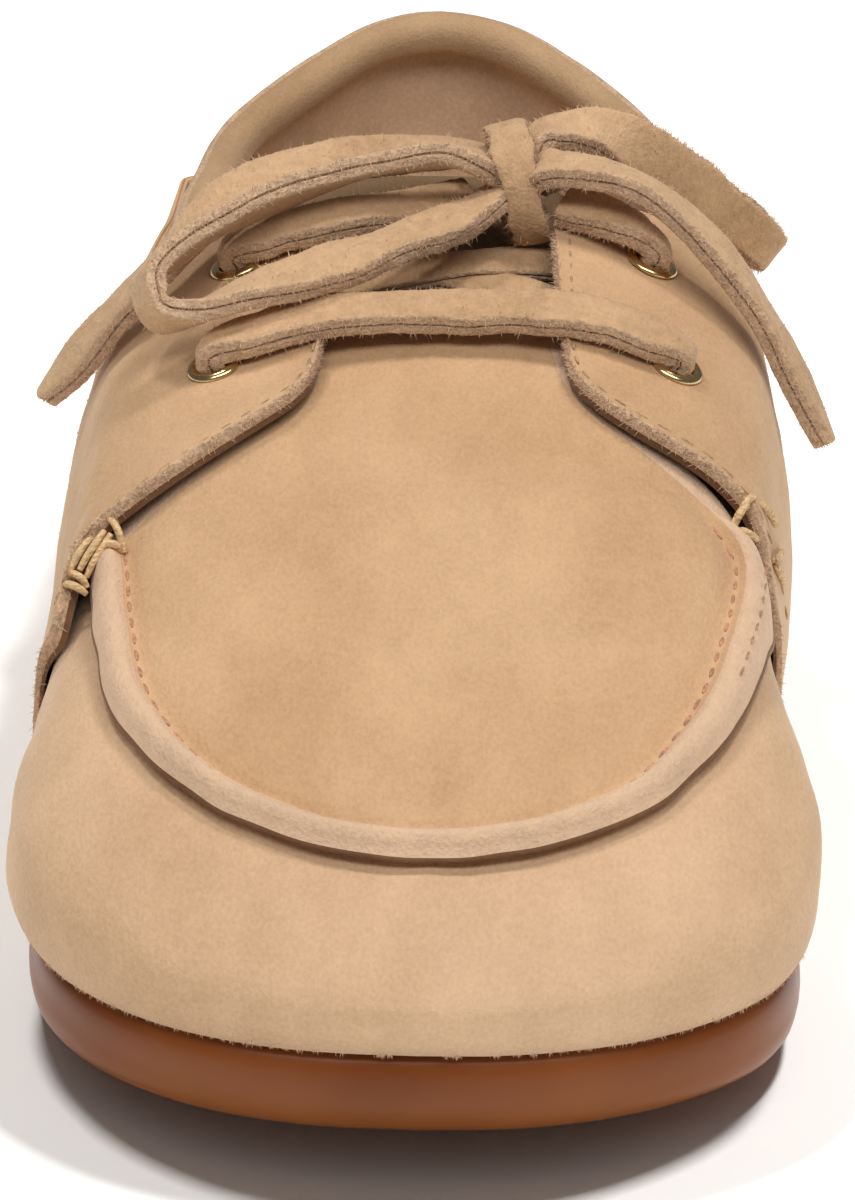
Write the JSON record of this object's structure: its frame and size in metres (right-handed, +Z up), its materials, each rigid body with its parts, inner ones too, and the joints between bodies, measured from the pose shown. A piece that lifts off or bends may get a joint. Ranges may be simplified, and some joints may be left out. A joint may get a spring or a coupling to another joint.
{
  "type": "lace-up moccasin deck shoe",
  "caption": "Right lace-up moccasin deck shoe: hollow suede upper with raised apron, overlaid quarters and padded collar on a flat gum rubber sole, tied with a flat suede strap in a bow.",
  "frame": {"origin": "on the floor under the middle of the shoe's length and width, measured without the free bow of the lace", "axes": "toe towards -Y, heel towards +Y, the inner (medial) side towards +X, +Z up from the floor"},
  "size_m": [0.1068, 0.256, 0.083],
  "materials": {
    "suede": "napped tan suede, matt, mottled",
    "lining": "smooth brown-grey lining leather, matt",
    "gum": "smooth caramel gum rubber, half gloss",
    "brass": "polished aged brass",
    "lace": "two layers of tan suede with greyish cut edges",
    "thread": "thick waxed straw-coloured sewing thread"
  },
  "bodies": {
    "root": {"outsole": "gum", "insole": "lining", "upper": "suede", "apron": "suede", "tongue": "suede", "quarter_lateral": "suede", "quarter_medial": "suede", "collar_band": "suede", "eyelet_lateral_front": "brass", "eyelet_lateral_back": "brass", "eyelet_medial_front": "brass", "eyelet_medial_back": "brass", "lace_bar": "lace", "lace_cross": "lace", "lace_stay_lateral": "lace", "lace_stay_medial": "lace", "lace_knot": "lace", "lace_loop_lateral": "lace", "lace_loop_medial": "lace", "lace_end_lateral": "lace", "lace_end_medial": "lace", "thong_lateral": "lace", "thong_medial": "lace"}
  },
  "joints": []
}
